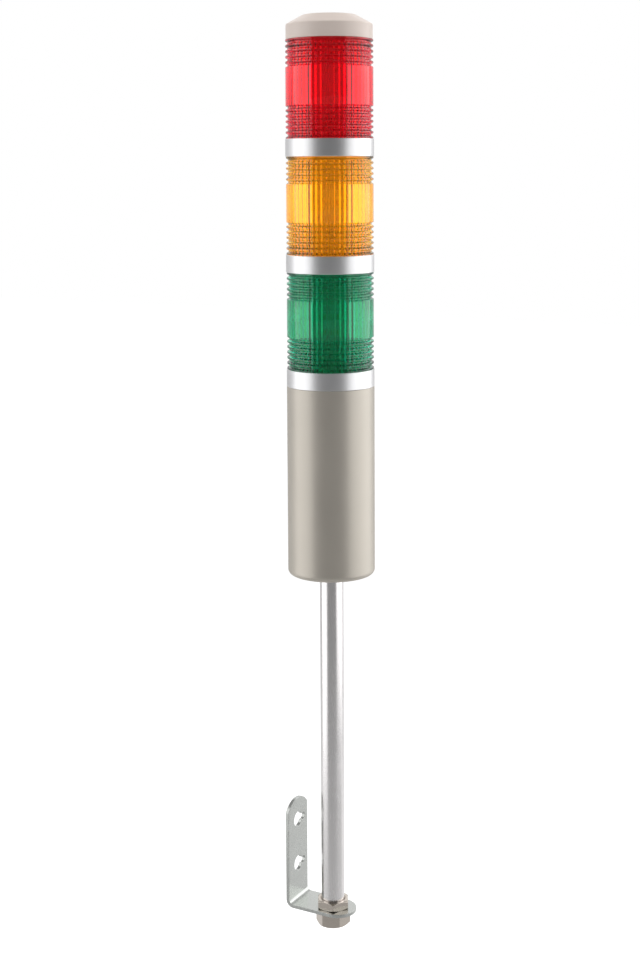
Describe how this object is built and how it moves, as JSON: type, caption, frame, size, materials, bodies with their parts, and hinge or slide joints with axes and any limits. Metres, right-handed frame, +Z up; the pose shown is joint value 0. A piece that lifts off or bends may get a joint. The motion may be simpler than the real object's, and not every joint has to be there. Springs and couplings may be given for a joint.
{
  "type": "stack light",
  "caption": "Signal tower with red, amber and green ribbed lens tiers over a silver body, on a tubular pole clamped in an L-shaped wall bracket with keyholes.",
  "frame": {"origin": "centre of the bracket's wall face, midway between its two keyholes", "axes": "+Z up along the pole, +Y into the wall, +X towards the keyholes' narrow necks"},
  "size_m": [0.05, 0.0505, 0.5277],
  "materials": {
    "zinc_plate": "bright zinc plating on bent sheet steel",
    "nickel_plate": "nickel-plated thin hexagon nuts",
    "pole_aluminium": "satin aluminium tube",
    "steel_hardware": "plated steel rods, nuts and screws",
    "silver_body": "satin silver",
    "silver_ring": "bright satin silver",
    "white_moulding": "plain white moulding",
    "circuit_board": "green solder mask",
    "terminal_plastic": "moulded terminal block",
    "led_package": "surface-mounted LED packages",
    "ivory_plastic": "moulded ivory plastic, satin",
    "red_lens": "clear red polycarbonate, ribbed outside and fluted inside",
    "amber_lens": "clear amber polycarbonate, ribbed outside and fluted inside",
    "green_lens": "clear green polycarbonate, ribbed outside and fluted inside"
  },
  "bodies": {
    "bracket": {"l_bracket": "zinc_plate"},
    "tower": {"upper_clamp_nut": "nickel_plate", "lower_clamp_nut": "nickel_plate", "pole": "pole_aluminium", "pole_lock_washer": "steel_hardware", "pole_lock_nut": "steel_hardware", "body_housing": "silver_body", "body_deck": "white_moulding", "deck_screws": "steel_hardware", "control_board": "circuit_board", "control_board_screws": "steel_hardware", "terminal_block": "terminal_plastic", "terminal_screws": "steel_hardware", "top_clamp_plate": "white_moulding", "tie_rods": "steel_hardware", "tie_rod_nuts": "steel_hardware", "top_cap": "ivory_plastic", "green_module_ring": "silver_ring", "green_board_holder": "white_moulding", "green_lens": "green_lens", "green_led_board": "circuit_board", "green_leds": "led_package", "amber_module_ring": "silver_ring", "amber_board_holder": "white_moulding", "amber_lens": "amber_lens", "amber_led_board": "circuit_board", "amber_leds": "led_package", "red_module_ring": "silver_ring", "red_board_holder": "white_moulding", "red_lens": "red_lens", "red_led_board": "circuit_board", "red_leds": "led_package"}
  },
  "joints": [
    {"name": "pole_swivel", "type": "hinge", "parent": "bracket", "child": "tower", "pos_m": [0, -0.0255, -0.0355], "axis": [0, 0, 1], "continuous": true}
  ]
}
